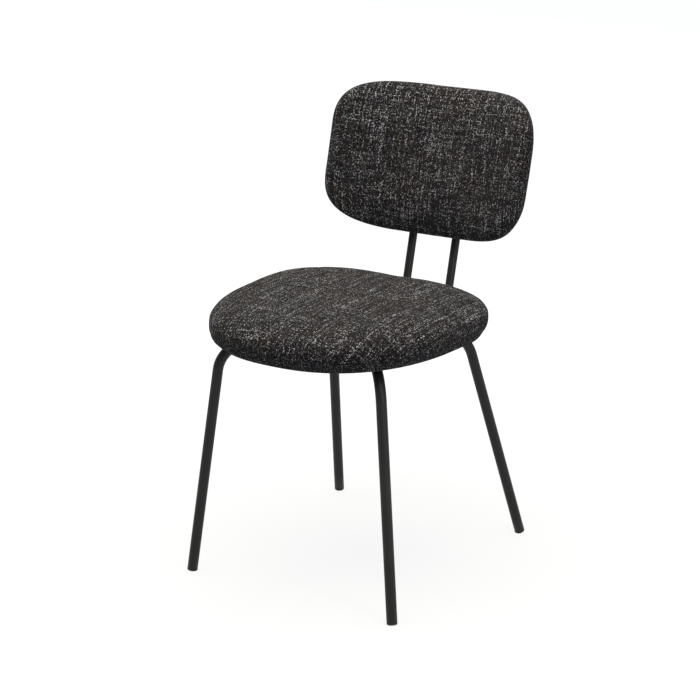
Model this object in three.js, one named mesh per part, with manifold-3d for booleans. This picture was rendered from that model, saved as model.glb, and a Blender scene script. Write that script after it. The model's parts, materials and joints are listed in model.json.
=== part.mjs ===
// A fixed dining chair. Four bent steel legs meet at a hub under an upholstered seat, and two thinner
// steel posts come out from under the seat and rise into the bottom edge of an upholstered back pad.
// Millimetres. +Z is up, the front of the chair faces -Y, and the chair is symmetric about X = 0.

import * as THREE from 'three';
import { mergeVertices } from 'three/addons/utils/BufferGeometryUtils.js';
import Module from 'manifold-3d';

const wasm = await Module();
wasm.setup();

// Gap left between two pieces that touch on the real chair
const gap = 0.3;

// Legs: one bent round tube each. The foot point is where the leg's axis meets the floor, and the
// knee point is where that axis would meet the axis of the level run under the seat.
const legRadius = 9;
const tubeWall = 1.5;
const legRunHeight = 408.7;
const frontFoot = new THREE.Vector2(204, -229);
const frontKnee = new THREE.Vector2(157.4, -194.7);
const rearFoot = new THREE.Vector2(196, 229);
const rearKnee = new THREE.Vector2(137.8, 113.5);
const frontLegBend = 50;
const rearLegBend = 72;

// Hub: the steel boss that the four level runs are welded to
const hubCentreY = -11;
const hubRadius = 22;
const hubHeight = 16;

// Glides: plastic plugs in the leg ends. The floor trims the lowest edge of each to a small flat.
const glideFlange = 3;
const glideStem = 14;
const glideEdge = 0.8;
const glideSink = 0.8;

// Back posts: two parallel tubes that lean back as they rise
const postRadius = 7.5;
const postSpacing = 88.4;
const postLean = THREE.MathUtils.degToRad(14.8);
const postKneeY = 212.5;
const postBend = 36;
const postTop = 75;

// Seat cushion. Its outline is a rounded square, widest at the level seatWaist.
const seatHalfWidth = 222.8;
const seatFrontReach = 253.2;
const seatBackReach = 187.5;
const seatCentreY = -40;
const seatTaper = 0.07;
const seatFrontPower = 2.4;
const seatBackPower = 2.7;
const seatBottom = 418;
const seatWaist = 446;
const seatTop = 490.5;
const seatTopPower = 3.4;
const seatUnderPower = 1.9;
const seatUnderRatio = 0.88;

// Pieces inside the seat
const coverThickness = 1.5;
const boardThickness = 12;
const boardRatio = 0.84;
const openingRatio = 0.76;
const dustCoverThickness = 0.9;

// Back pad, in a frame of its own: X across, Y up the pad, Z out of its front face
const padCentreY = 259;
const padCentreZ = 660;
const padHalfWidth = 202.3;
const padHalfHeight = 135.4;
const padHalfDepth = 34;
const padCornerPower = 4.1;
const padEdgePower = 2.7;
const padCurve = 0.0013;
const backBoardThickness = 9;
const backBoardRatio = 0.87;
const backBoltHeight = 45;

// Fasteners
const seatBolt = { shank: 3, head: 6, headHeight: 3.2, socket: 2, socketDepth: 2, flange: 9 };
const backBolt = { shank: 2.5, head: 4.4, headHeight: 2.6, socket: 1.5, socketDepth: 1.6, flange: 7.5 };
const teeNutWall = 1.2;
const teeNutFlangeHeight = 1.2;
const boltHole = 0.4;
const frontBoltReach = 120;
const rearBoltReach = 95;
const postBoltY = 85;
const headDepthInPost = 3.2;
const headAccess = 5;

// Mesh fineness
const formSegments = 28;
const formRings = 12;
const outlinePoints = 32;
const tubeSides = 8;
const bendSteps = 6;
const turnedSides = 10;
const sleeveSides = 16;

// Finishes
const finishes = {
  steel: { color: 0x2b2d2c, roughness: 0.42, metalness: 0.35 },
  plastic: { color: 0x151515, roughness: 0.6, metalness: 0 },
  tweed: { color: 0x36343a, roughness: 0.95, metalness: 0 },
  foam: { color: 0xd8cfae, roughness: 0.95, metalness: 0 },
  plywood: { color: 0xb08d5e, roughness: 0.7, metalness: 0 },
  sheet: { color: 0x1c1c1e, roughness: 0.9, metalness: 0 },
  zinc: { color: 0xb9bcc0, roughness: 0.35, metalness: 0.9 },
};
const materials = {};
for (const [name, finish] of Object.entries(finishes)) {
  materials[name] = new THREE.MeshStandardMaterial(finish);
}

const chair = new THREE.Group();
const up = new THREE.Vector3(0, 0, 1);

// The back pad's own frame leans with the posts
const pad = new THREE.Group();
pad.position.set(0, padCentreY, padCentreZ);
pad.rotation.x = Math.PI / 2 - postLean;
pad.updateMatrix();
chair.add(pad);
const intoPad = pad.matrix.clone().invert();

// ---- Solids: a geometry becomes a manifold solid, and a solid becomes a named mesh ----

function toSolid(geometry) {
  const bare = geometry.index ? geometry.clone() : geometry;
  bare.deleteAttribute('normal');
  bare.deleteAttribute('uv');
  const merged = mergeVertices(bare, 1e-4);
  return new wasm.Manifold(new wasm.Mesh({
    numProp: 3,
    vertProperties: new Float32Array(merged.attributes.position.array),
    triVerts: new Uint32Array(merged.index.array),
  }));
}

function toGeometry(solid) {
  const mesh = solid.getMesh();
  const geometry = new THREE.BufferGeometry();
  geometry.setAttribute('position', new THREE.BufferAttribute(mesh.vertProperties, 3));
  geometry.setIndex(new THREE.BufferAttribute(mesh.triVerts, 1));
  return geometry;
}

function cut(solid, ...tools) {
  return tools.reduce((rest, tool) => rest.subtract(tool), solid);
}

function place(name, solid, material, group = chair) {
  const geometry = toGeometry(solid);
  geometry.computeVertexNormals();
  const mesh = new THREE.Mesh(geometry, materials[material]);
  mesh.name = name;
  group.add(mesh);
  return mesh;
}

// A solid box, cylinder or turned profile, standing along +Z from `base`, or along `direction`
function boxSolid(low, high) {
  const size = high.clone().sub(low);
  const geometry = new THREE.BoxGeometry(size.x, size.y, size.z);
  const middle = low.clone().add(high).multiplyScalar(0.5);
  return toSolid(geometry.translate(middle.x, middle.y, middle.z));
}

function turnedSolid(profile, base, direction = up) {
  const points = profile.map(([radius, height]) => new THREE.Vector2(radius, height));
  const geometry = new THREE.LatheGeometry(points, turnedSides);
  const turn = new THREE.Quaternion().setFromUnitVectors(new THREE.Vector3(0, 1, 0), direction);
  geometry.applyQuaternion(turn);
  return toSolid(geometry.translate(base.x, base.y, base.z));
}

function rodSolid(radius, length, base, direction = up, sides = turnedSides) {
  const geometry = new THREE.CylinderGeometry(radius, radius, length, sides);
  geometry.translate(0, length / 2, 0);
  const turn = new THREE.Quaternion().setFromUnitVectors(new THREE.Vector3(0, 1, 0), direction);
  geometry.applyQuaternion(turn);
  return toSolid(geometry.translate(base.x, base.y, base.z));
}

// ---- Bent tubes ----

// A path of two straight runs and one round bend at `knee`, with one station at each end of a
// straight run and bendSteps steps round the bend
class BentPath extends THREE.Curve {
  constructor(start, knee, end, bendRadius) {
    super();
    const inward = knee.clone().sub(start).normalize();
    const outward = end.clone().sub(knee).normalize();
    const turn = inward.angleTo(outward);
    const reach = bendRadius * Math.tan(turn / 2);
    const bendStart = knee.clone().addScaledVector(inward, -reach);
    const side = outward.clone().addScaledVector(inward, -Math.cos(turn)).normalize();
    const centre = bendStart.clone().addScaledVector(side, bendRadius);
    this.stations = [{ point: start, tangent: inward }];
    for (let i = 0; i <= bendSteps; i += 1) {
      const angle = turn * i / bendSteps;
      const point = centre.clone()
        .addScaledVector(side, -bendRadius * Math.cos(angle))
        .addScaledVector(inward, bendRadius * Math.sin(angle));
      const tangent = inward.clone().multiplyScalar(Math.cos(angle))
        .addScaledVector(side, Math.sin(angle));
      this.stations.push({ point, tangent });
    }
    this.stations.push({ point: end, tangent: outward });
    this.steps = this.stations.length - 1;
  }

  station(u) {
    return this.stations[Math.round(u * this.steps)];
  }

  getPoint(u, target = new THREE.Vector3()) {
    return target.copy(this.station(u).point);
  }

  getPointAt(u, target) {
    return this.getPoint(u, target);
  }

  getTangent(u, target = new THREE.Vector3()) {
    return target.copy(this.station(u).tangent);
  }

  getTangentAt(u, target) {
    return this.getTangent(u, target);
  }
}

function ringShape(radius, wall) {
  const shape = new THREE.Shape();
  shape.absarc(0, 0, radius, 0, 2 * Math.PI, false);
  if (wall > 0) {
    const bore = new THREE.Path();
    bore.absarc(0, 0, radius - wall, 0, 2 * Math.PI, true);
    shape.holes.push(bore);
  }
  return shape;
}

function tubeSolid(path, radius, wall) {
  const geometry = new THREE.ExtrudeGeometry(ringShape(radius, wall), {
    steps: path.steps,
    curveSegments: tubeSides,
    extrudePath: path,
  });
  return toSolid(geometry);
}

// ---- Fasteners ----

// A bolt with a low round head and a hexagon socket. It points along `direction` from the seat of
// its head, so the head lies behind `base`.
function boltSolid(size, length, base, direction = up) {
  const profile = [
    [0, -size.headHeight],
    [size.head * 0.7, -size.headHeight],
    [size.head, -size.headHeight * 0.4],
    [size.head, 0],
    [size.shank, 0],
    [size.shank, length],
    [0, length],
  ];
  const body = turnedSolid(profile, base, direction);
  const socketBase = base.clone().addScaledVector(direction, -size.headHeight - 1);
  return cut(body, rodSolid(size.socket, size.socketDepth + 1, socketBase, direction, 6));
}

// A tee nut: a threaded barrel with a round flange. The barrel starts at `base` and runs along
// `direction` to the flange.
function teeNutSolid(size, length, base, direction = up) {
  const bore = size.shank + gap;
  const barrel = bore + teeNutWall;
  const profile = [
    [bore, 0],
    [barrel, 0],
    [barrel, length - teeNutFlangeHeight],
    [size.flange, length - teeNutFlangeHeight],
    [size.flange, length],
    [bore, length],
    [bore, 0],
  ];
  return turnedSolid(profile, base, direction);
}

// The hole in a board that takes a tee nut: a bore, and a shallow recess for the flange
function teeNutHole(size, length, base, direction = up) {
  const barrel = size.shank + gap + teeNutWall + gap;
  const below = base.clone().addScaledVector(direction, -5);
  const recess = base.clone().addScaledVector(direction, length - teeNutFlangeHeight - gap);
  return rodSolid(barrel, length + 5, below, direction)
    .add(rodSolid(size.flange + gap, 10, recess, direction));
}

// ---- Cushion forms ----

function signedPower(value, power) {
  return Math.sign(value) * Math.abs(value) ** power;
}

// A closed form made from a unit sphere: `shape` turns the turn angle and the rise angle of each
// point on the sphere into a point of the cushion
function sphereForm(shape) {
  const geometry = new THREE.SphereGeometry(1, formSegments, formRings);
  geometry.rotateX(Math.PI / 2);
  const position = geometry.attributes.position;
  const point = new THREE.Vector3();
  for (let i = 0; i < position.count; i += 1) {
    point.fromBufferAttribute(position, i);
    const turn = Math.hypot(point.x, point.y) < 1e-6 ? 0 : Math.atan2(point.y, point.x);
    const rise = Math.asin(THREE.MathUtils.clamp(point.z, -1, 1));
    const placed = shape(turn, rise);
    position.setXYZ(i, placed.x, placed.y, placed.z);
  }
  return toSolid(geometry);
}

// Seat outline at a ratio of its full size, drawn in by `inset` on every side
function seatOutlinePoint(turn, ratio, inset) {
  const isBack = Math.sin(turn) > 0;
  const power = 2 / (isBack ? seatBackPower : seatFrontPower);
  const reach = (isBack ? seatBackReach : seatFrontReach) - inset;
  const across = signedPower(Math.cos(turn), power);
  const along = signedPower(Math.sin(turn), power) * ratio;
  const x = (seatHalfWidth - inset) * across * ratio * (1 + seatTaper * along);
  return new THREE.Vector2(x, seatCentreY + reach * along);
}

// The underside is flat: its last ring before the pole already lies at the bottom
function seatForm(inset) {
  const underStretch = formRings / (formRings - 2);
  return sphereForm((turn, rise) => {
    const isTop = rise >= 0;
    const power = 2 / (isTop ? seatTopPower : seatUnderPower);
    const angle = isTop ? rise : Math.max(rise * underStretch, -Math.PI / 2);
    const spread = Math.abs(Math.cos(angle)) ** power;
    const isPole = Math.abs(rise) > Math.PI / 2 - 1e-4;
    const ratio = isTop ? spread : seatUnderRatio + (1 - seatUnderRatio) * spread;
    const depth = isTop ? seatTop - seatWaist - inset : seatWaist - seatBottom - inset;
    const flat = seatOutlinePoint(turn, isPole ? 0 : ratio, inset);
    return new THREE.Vector3(flat.x, flat.y, seatWaist + depth * signedPower(Math.sin(angle), power));
  });
}

function prism(points, bottom, top) {
  const geometry = new THREE.ExtrudeGeometry(new THREE.Shape(points), {
    depth: top - bottom,
    bevelEnabled: false,
  });
  return toSolid(geometry.translate(0, 0, bottom));
}

function seatPrism(ratio, inset, bottom, top) {
  const points = [];
  for (let i = 0; i < outlinePoints; i += 1) {
    points.push(seatOutlinePoint(2 * Math.PI * i / outlinePoints, ratio, inset));
  }
  return prism(points, bottom, top);
}

function padOutlinePoint(turn, ratio, inset) {
  const power = 2 / padCornerPower;
  const x = (padHalfWidth - inset) * signedPower(Math.cos(turn), power) * ratio;
  const y = (padHalfHeight - inset) * signedPower(Math.sin(turn), power) * ratio;
  return new THREE.Vector2(x, y);
}

// The pad curves forwards as it runs out to each side
function padSweep(x) {
  return padCurve * x * x;
}

function padForm(inset) {
  return sphereForm((turn, rise) => {
    const power = 2 / padEdgePower;
    const flat = padOutlinePoint(turn, Math.abs(Math.cos(rise)) ** power, inset);
    const depth = (padHalfDepth - inset) * signedPower(Math.sin(rise), power);
    return new THREE.Vector3(flat.x, flat.y, depth + padSweep(flat.x));
  });
}

// A slab between two depths that follows the sweep of the pad, taller and wider than the pad
function padSlab(rear, front) {
  const half = padHalfWidth + 20;
  const slices = 16;
  const rearEdge = [];
  const frontEdge = [];
  for (let i = 0; i <= slices; i += 1) {
    const x = half * (2 * i / slices - 1);
    rearEdge.push(new THREE.Vector2(x, rear + padSweep(x)));
    frontEdge.unshift(new THREE.Vector2(x, front + padSweep(x)));
  }
  const height = 2 * padHalfHeight + 40;
  const geometry = new THREE.ExtrudeGeometry(new THREE.Shape([...rearEdge, ...frontEdge]), {
    depth: height,
    bevelEnabled: false,
  });
  geometry.translate(0, 0, -height / 2);
  return toSolid(geometry.rotateX(Math.PI / 2));
}

function padPrism(ratio, inset) {
  const points = [];
  for (let i = 0; i < outlinePoints; i += 1) {
    points.push(padOutlinePoint(2 * Math.PI * i / outlinePoints, ratio, inset));
  }
  return prism(points, -150, 150);
}

// ---- Frame: legs, glides, hub and posts ----

const legs = [];
for (const [row, foot, knee, bend, reach] of [
  ['front', frontFoot, frontKnee, frontLegBend, frontBoltReach],
  ['rear', rearFoot, rearKnee, rearLegBend, rearBoltReach],
]) {
  for (const [hand, side] of [['left', -1], ['right', 1]]) {
    const footPoint = new THREE.Vector3(side * foot.x, foot.y, 0);
    const kneePoint = new THREE.Vector3(side * knee.x, knee.y, legRunHeight);
    const hubPoint = new THREE.Vector3(0, hubCentreY, legRunHeight);
    const rise = kneePoint.clone().sub(footPoint).normalize();
    const run = hubPoint.clone().sub(kneePoint).normalize();
    const bolt = hubPoint.clone().addScaledVector(run, -reach);
    legs.push({ name: `${row}_${hand}`, footPoint, kneePoint, hubPoint, rise, run, bend, bolt });
  }
}

const posts = [['left', -1], ['right', 1]].map(([hand, side]) => {
  const x = side * postSpacing / 2;
  const runHeight = legRunHeight + legRadius - postRadius;
  const rise = new THREE.Vector3(0, Math.sin(postLean), Math.cos(postLean));
  const knee = new THREE.Vector3(x, postKneeY, runHeight);
  return { name: `${hand}_back_post`, hand, x, runHeight, rise, knee };
});

const hubBase = new THREE.Vector3(0, hubCentreY, legRunHeight - hubHeight / 2);
const hubSides = 24;
place('frame_hub', rodSolid(hubRadius, hubHeight, hubBase, up, hubSides), 'steel');
const hubClearanceBase = hubBase.clone().setZ(legRunHeight - hubHeight);
const hubClearance = rodSolid(hubRadius + gap, 2 * hubHeight, hubClearanceBase, up, hubSides);

// How far the end disc of a glide stands above the floor along its tilted axis, so that the floor
// trims glideSink off its lowest edge
function glideLift(rise) {
  const tilt = rise.angleTo(up);
  return (legRadius * Math.sin(tilt) - glideSink) / Math.cos(tilt);
}

const floorTrim = boxSolid(new THREE.Vector3(-500, -500, -50), new THREE.Vector3(500, 500, 0));

for (const leg of legs) {
  const discCentre = leg.footPoint.clone().addScaledVector(leg.rise, glideLift(leg.rise));
  const stemRadius = legRadius - tubeWall - gap;
  const glide = turnedSolid([
    [0, 0],
    [legRadius - glideEdge, 0],
    [legRadius, glideEdge],
    [legRadius, glideFlange],
    [stemRadius, glideFlange],
    [stemRadius, glideFlange + glideStem],
    [0, glideFlange + glideStem],
  ], discCentre, leg.rise);
  place(`${leg.name}_glide`, cut(glide, floorTrim), 'plastic');

  const start = discCentre.clone().addScaledVector(leg.rise, glideFlange + gap);
  const tube = tubeSolid(new BentPath(start, leg.kneePoint, leg.hubPoint, leg.bend), legRadius, tubeWall);
  const below = leg.bolt.clone().setZ(legRunHeight - 20);
  const boltClearance = rodSolid(seatBolt.shank + boltHole, 40, below);
  place(`${leg.name}_leg`, cut(tube, hubClearance, boltClearance), 'steel');
}

// The level run of each post ends against the rear leg beside it, cut to the leg's round
function rearLegClearance(leg) {
  const start = leg.hubPoint.clone().addScaledVector(leg.run, 10);
  const length = start.distanceTo(leg.kneePoint);
  return rodSolid(legRadius + gap, length, start, leg.run.clone().negate(), sleeveSides);
}

for (const post of posts) {
  const rearLeg = legs.find((leg) => leg.name === `rear_${post.hand}`);
  const slope = (rearKnee.y - hubCentreY) / rearKnee.x;
  const meetY = hubCentreY + slope * Math.abs(post.x);
  const start = new THREE.Vector3(post.x, meetY + 2, post.runHeight);
  const topLength = postTop - post.knee.clone().applyMatrix4(intoPad).y;
  const end = post.knee.clone().addScaledVector(post.rise, topLength);
  const boltBelow = new THREE.Vector3(post.x, postBoltY, post.runHeight - 20);
  post.solid = cut(
    tubeSolid(new BentPath(start, post.knee, end, postBend), postRadius, tubeWall),
    rearLegClearance(rearLeg),
    rodSolid(seatBolt.shank + boltHole, 40, boltBelow),
  );
}

// ---- Seat ----

const boardBottom = seatBottom + coverThickness + gap;
const boardTop = boardBottom + boardThickness;
const seatBolts = [
  ...legs.map((leg) => ({ name: leg.name, at: leg.bolt, underside: legRunHeight - legRadius })),
  ...posts.map((post) => ({
    name: `${post.hand}_post`,
    at: new THREE.Vector3(post.x, postBoltY, post.runHeight),
    underside: post.runHeight - postRadius,
  })),
];

const seatHoles = seatBolts.map(({ at }) => (
  teeNutHole(seatBolt, boardThickness - gap, at.clone().setZ(boardBottom))
));
place('seat_board', cut(seatPrism(boardRatio, 0, boardBottom, boardTop), ...seatHoles), 'plywood');

const boardPocket = seatPrism(boardRatio, -gap, seatBottom - 20, boardTop + gap);
const seatInside = seatForm(coverThickness + gap);
place('seat_foam', cut(seatInside, boardPocket), 'foam');

const coverOpening = seatPrism(openingRatio, 0, seatBottom - 20, boardBottom + 1);
place('seat_cover', cut(seatForm(0), seatForm(coverThickness), coverOpening), 'tweed');

const sheetTop = boardBottom - gap;
const sheet = seatPrism(openingRatio, gap, sheetTop - dustCoverThickness, sheetTop);
const sheetHoles = seatBolts.map(({ at }) => (
  rodSolid(seatBolt.shank + boltHole, 40, at.clone().setZ(seatBottom - 20))
));
place('seat_dust_cover', cut(sheet, ...sheetHoles), 'sheet');

for (const { name, at, underside } of seatBolts) {
  const headSeat = at.clone().setZ(underside - gap);
  const boltLength = boardTop - 1 - headSeat.z;
  place(`${name}_bolt`, boltSolid(seatBolt, boltLength, headSeat), 'zinc');
  const nutBase = at.clone().setZ(boardBottom + gap);
  place(`${name}_tee_nut`, teeNutSolid(seatBolt, boardThickness - 2 * gap, nutBase), 'zinc');
}

// ---- Back pad ----

// Depth of the posts' axis, of the board's rear face and of its front face, at the middle of the pad
const postDepth = posts[0].knee.clone().applyMatrix4(intoPad).z;
const boardRear = postDepth + postRadius + 0.5 - padSweep(postSpacing / 2);
const boardFront = boardRear + backBoardThickness;
const foamSplit = (boardRear + boardFront) / 2;

// A tee nut stays clear of both faces of the board, which slope at the posts
const forward = new THREE.Vector3(0, 0, 1);
const backHoles = [];
const boltChannels = [];
for (const post of posts) {
  for (const [level, height] of [['lower', -backBoltHeight], ['upper', backBoltHeight]]) {
    const name = `${post.hand}_${level}_back`;
    const axis = new THREE.Vector3(post.x, height, postDepth);
    const headSeat = axis.clone().setZ(postDepth + headDepthInPost);
    const nutBase = axis.clone().setZ(boardRear + padSweep(postSpacing / 2 + backBolt.flange) + gap);
    const nutTop = boardFront + padSweep(postSpacing / 2 - backBolt.flange) - gap;
    const nutLength = nutTop - nutBase.z;
    const boltLength = nutBase.z + nutLength - headSeat.z;
    place(`${name}_bolt`, boltSolid(backBolt, boltLength, headSeat, forward), 'zinc', pad);
    place(`${name}_tee_nut`, teeNutSolid(backBolt, nutLength, nutBase, forward), 'zinc', pad);
    backHoles.push(teeNutHole(backBolt, nutLength + gap, nutBase, forward));
    boltChannels.push(rodSolid(backBolt.shank + boltHole, 20, axis, forward));

    // The bolt passes through the front wall of the post, and its head goes in through the rear wall
    const chairForward = forward.clone().transformDirection(pad.matrix);
    const middle = axis.clone().applyMatrix4(pad.matrix);
    const behind = middle.clone().addScaledVector(chairForward, -10);
    post.solid = cut(
      post.solid,
      rodSolid(backBolt.shank + boltHole, 10, middle, chairForward),
      rodSolid(headAccess, 10, behind, chairForward),
    );
  }
  place(post.name, post.solid, 'steel');
}

const boardBlank = padPrism(backBoardRatio, 0).intersect(padSlab(boardRear, boardFront));
place('back_board', cut(boardBlank, ...backHoles), 'plywood', pad);

const backPocket = padPrism(backBoardRatio, -gap).intersect(padSlab(boardRear - gap, boardFront + gap));
const padInside = cut(padForm(coverThickness + gap), backPocket);
const along = new THREE.Vector3(0, 1, 0);
const postTunnels = posts.map((post) => {
  const bottom = new THREE.Vector3(post.x, -padHalfHeight - 20, postDepth);
  return rodSolid(postRadius + gap, padHalfHeight + 20 + postTop + gap, bottom, along, sleeveSides);
});
place('back_front_foam', padInside.intersect(padSlab(foamSplit + gap / 2, 100)), 'foam', pad);
const rearFoam = padInside.intersect(padSlab(-100, foamSplit - gap / 2));
place('back_rear_foam', cut(rearFoam, ...postTunnels, ...boltChannels), 'foam', pad);
place('back_cover', cut(padForm(0), padForm(coverThickness), ...postTunnels), 'tweed', pad);

// ---- Origin: on the floor under the middle of the chair's box ----

const box = new THREE.Box3().setFromObject(chair, true);
chair.position.y = -(box.min.y + box.max.y) / 2;

const part = new THREE.Group();
part.add(chair);

export default part;
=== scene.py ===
import json
import math
import bpy
import numpy as np
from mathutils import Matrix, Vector, noise


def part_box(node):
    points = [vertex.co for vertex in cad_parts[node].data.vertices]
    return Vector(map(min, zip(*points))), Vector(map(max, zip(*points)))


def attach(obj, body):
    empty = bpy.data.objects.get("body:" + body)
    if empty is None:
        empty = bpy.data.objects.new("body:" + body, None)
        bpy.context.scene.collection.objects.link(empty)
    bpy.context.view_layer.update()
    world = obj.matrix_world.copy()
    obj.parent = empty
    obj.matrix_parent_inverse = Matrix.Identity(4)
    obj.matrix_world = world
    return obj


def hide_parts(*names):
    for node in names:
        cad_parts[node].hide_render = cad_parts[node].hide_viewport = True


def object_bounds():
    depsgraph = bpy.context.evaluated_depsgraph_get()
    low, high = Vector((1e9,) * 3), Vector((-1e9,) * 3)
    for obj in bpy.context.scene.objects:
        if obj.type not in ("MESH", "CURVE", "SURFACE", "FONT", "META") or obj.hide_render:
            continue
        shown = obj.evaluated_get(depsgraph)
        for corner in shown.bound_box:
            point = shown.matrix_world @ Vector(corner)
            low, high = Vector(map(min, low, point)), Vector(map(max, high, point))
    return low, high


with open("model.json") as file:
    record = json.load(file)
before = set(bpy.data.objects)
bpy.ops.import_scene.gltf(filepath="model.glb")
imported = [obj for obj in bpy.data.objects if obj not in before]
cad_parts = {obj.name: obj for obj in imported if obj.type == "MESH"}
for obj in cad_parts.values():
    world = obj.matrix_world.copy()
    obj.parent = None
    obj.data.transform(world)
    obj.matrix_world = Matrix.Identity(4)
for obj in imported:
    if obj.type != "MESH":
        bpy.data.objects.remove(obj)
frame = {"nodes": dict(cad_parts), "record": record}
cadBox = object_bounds()
scene = bpy.context.scene
print("frame loaded", len(frame["nodes"]), "nodes")


# shader wiring: a wire is a socket with arithmetic

class Wire:
    def __init__(self, tree, socket=None):
        self.tree = tree
        self.socket = socket

    def node(self, kind, settings=None, inputs=None, output=0):
        made = self.tree.nodes.new(kind)
        for name, value in (settings or {}).items():
            if name == "stops":
                fillRamp(made.color_ramp, value)
            else:
                setattr(made, name, value)
        for key, value in (inputs or {}).items():
            if isinstance(value, Wire):
                self.tree.links.new(value.socket, made.inputs[key])
            else:
                made.inputs[key].default_value = value
        return Wire(self.tree, made.outputs[output])

    def maths(self, operation, *values):
        return self.node("ShaderNodeMath", {"operation": operation}, dict(enumerate(values)))

    def __add__(self, other):
        return self.maths("ADD", self, other)

    def __radd__(self, other):
        return self.maths("ADD", other, self)

    def __sub__(self, other):
        return self.maths("SUBTRACT", self, other)

    def __rsub__(self, other):
        return self.maths("SUBTRACT", other, self)

    def __mul__(self, other):
        return self.maths("MULTIPLY", self, other)

    def __rmul__(self, other):
        return self.maths("MULTIPLY", other, self)

    def __truediv__(self, other):
        return self.maths("DIVIDE", self, other)

    def __rtruediv__(self, other):
        return self.maths("DIVIDE", other, self)

    def __mod__(self, other):
        return self.maths("FLOORED_MODULO", self, other)

    def __rmod__(self, other):
        return self.maths("FLOORED_MODULO", other, self)

    def floor(self):
        return self.maths("FLOOR", self)

    def absolute(self):
        return self.maths("ABSOLUTE", self)

    def above(self, edge, width):
        # 0 below the edge, 1 above it, with a soft step of this width
        return self.node("ShaderNodeMapRange", {"interpolation_type": "SMOOTHSTEP"}, {
            "Value": self, "From Min": edge - width / 2, "From Max": edge + width / 2})

    def split(self):
        parts = self.node("ShaderNodeSeparateXYZ", None, {0: self}).socket.node
        return [Wire(self.tree, out) for out in parts.outputs]

    def join(self, x, y, z=0.0):
        return self.node("ShaderNodeCombineXYZ", None, {"X": x, "Y": y, "Z": z})

    def grain(self, place, scale, detail=2.0, rough=0.5, output=0):
        # cloudy noise at this place, from 0 to 1, or its colour as output 1
        return self.node("ShaderNodeTexNoise", {"noise_dimensions": "3D"}, {
            "Vector": place, "Scale": scale, "Detail": detail, "Roughness": rough}, output)

    def chance(self):
        # one even random value for each whole place
        return self.node("ShaderNodeTexWhiteNoise", {"noise_dimensions": "3D"}, {"Vector": self})

    def blend(self, low, high):
        # colours low and high, mixed by this value
        return self.node("ShaderNodeMix", {"data_type": "RGBA"}, {0: self, 6: low, 7: high}, 2)

    def ramp(self, stops):
        return self.node("ShaderNodeValToRGB", {"stops": stops}, {"Fac": self})

    def bump(self, distance, strength):
        return self.node("ShaderNodeBump", None, {
            "Height": self, "Distance": distance, "Strength": strength})


def fillRamp(ramp, stops):
    while len(ramp.elements) < len(stops):
        ramp.elements.new(1.0)
    for element, (place, colour) in zip(ramp.elements, stops):
        element.position = place
        element.color = (*colour, 1.0)


def makeMaterial(name, fixed, build):
    # build(wire) gives the sockets that vary; fixed holds the shader's own constants
    material = bpy.data.materials.new(name)
    material.use_nodes = True
    tree = material.node_tree
    shader = tree.nodes["Principled BSDF"]
    for key, value in fixed.items():
        shader.inputs[key].default_value = value
    for key, wire in build(Wire(tree)).items():
        tree.links.new(wire.socket, shader.inputs[key])
    return material


def objectPlace(wire):
    return wire.node("ShaderNodeTexCoord", output=3)


# tweed: two sets of melange yarns over and under each other, in metres of cloth

tweed = {
    "pitch": 0.0013,          # yarn to yarn
    "warpFleck": 0.0024,      # length of one shade along a yarn
    "weftFleck": 0.0020,
    "run": 0.030,             # length of a lighter or darker run of one yarn
    "warpLift": 0.030,        # how much lighter the upright yarns are than the level ones
    "clump": 0.0034,          # size of a knot of lighter or darker yarns
    "wander": 0.0003,         # how far the yarns stray
    "slub": 0.0044,           # width of a streak of lighter or darker yarns
    "streak": 0.130,          # and its length
    "height": 0.0007,
    "fleckShare": 0.72,       # what flecks, runs, streaks and knots each add to the shade
    "runShare": 0.26,
    "streakShare": 1.05,
    "clumpShare": 0.16,
    "level": -0.658,          # moves all shades lighter or darker
    "dark": (0.0010, 0.0010, 0.0010),
    "charcoal": (0.0048, 0.0049, 0.0052),
    "grey": (0.0244, 0.0242, 0.0258),
    "silver": (0.111, 0.1125, 0.122),
    "pale": (0.700, 0.700, 0.745),
    "dye": 0.011,             # length of brown or violet along a yarn
    "brown": (0.030, 0.017, 0.012),
    "violet": (0.013, 0.0135, 0.023),
}


def yarnTone(wire, across, along, fleckLength, seed):
    # tone of one set of parallel yarns, and how round they stand, which sets both the relief and the
    # painted shade between the yarns
    index = across.floor()
    own = wire.join(index, seed, 0.5).chance()
    dash = (along / fleckLength + own * 37).floor()
    fleck = wire.join(index, dash, seed).chance()
    run = wire.grain(wire.join(index * 7.31, along / tweed["run"], seed), 1.0, 1.0)
    slub = across * (tweed["pitch"] / tweed["slub"]) + seed
    streak = wire.grain(wire.join(slub, along / tweed["streak"]), 1.0, 2.0, 0.8)
    bow = (across - index) * 2 - 1
    tone = fleck * tweed["fleckShare"] + run * tweed["runShare"] + streak * tweed["streakShare"]
    return tone + tweed["level"], 1 - bow * bow


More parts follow.
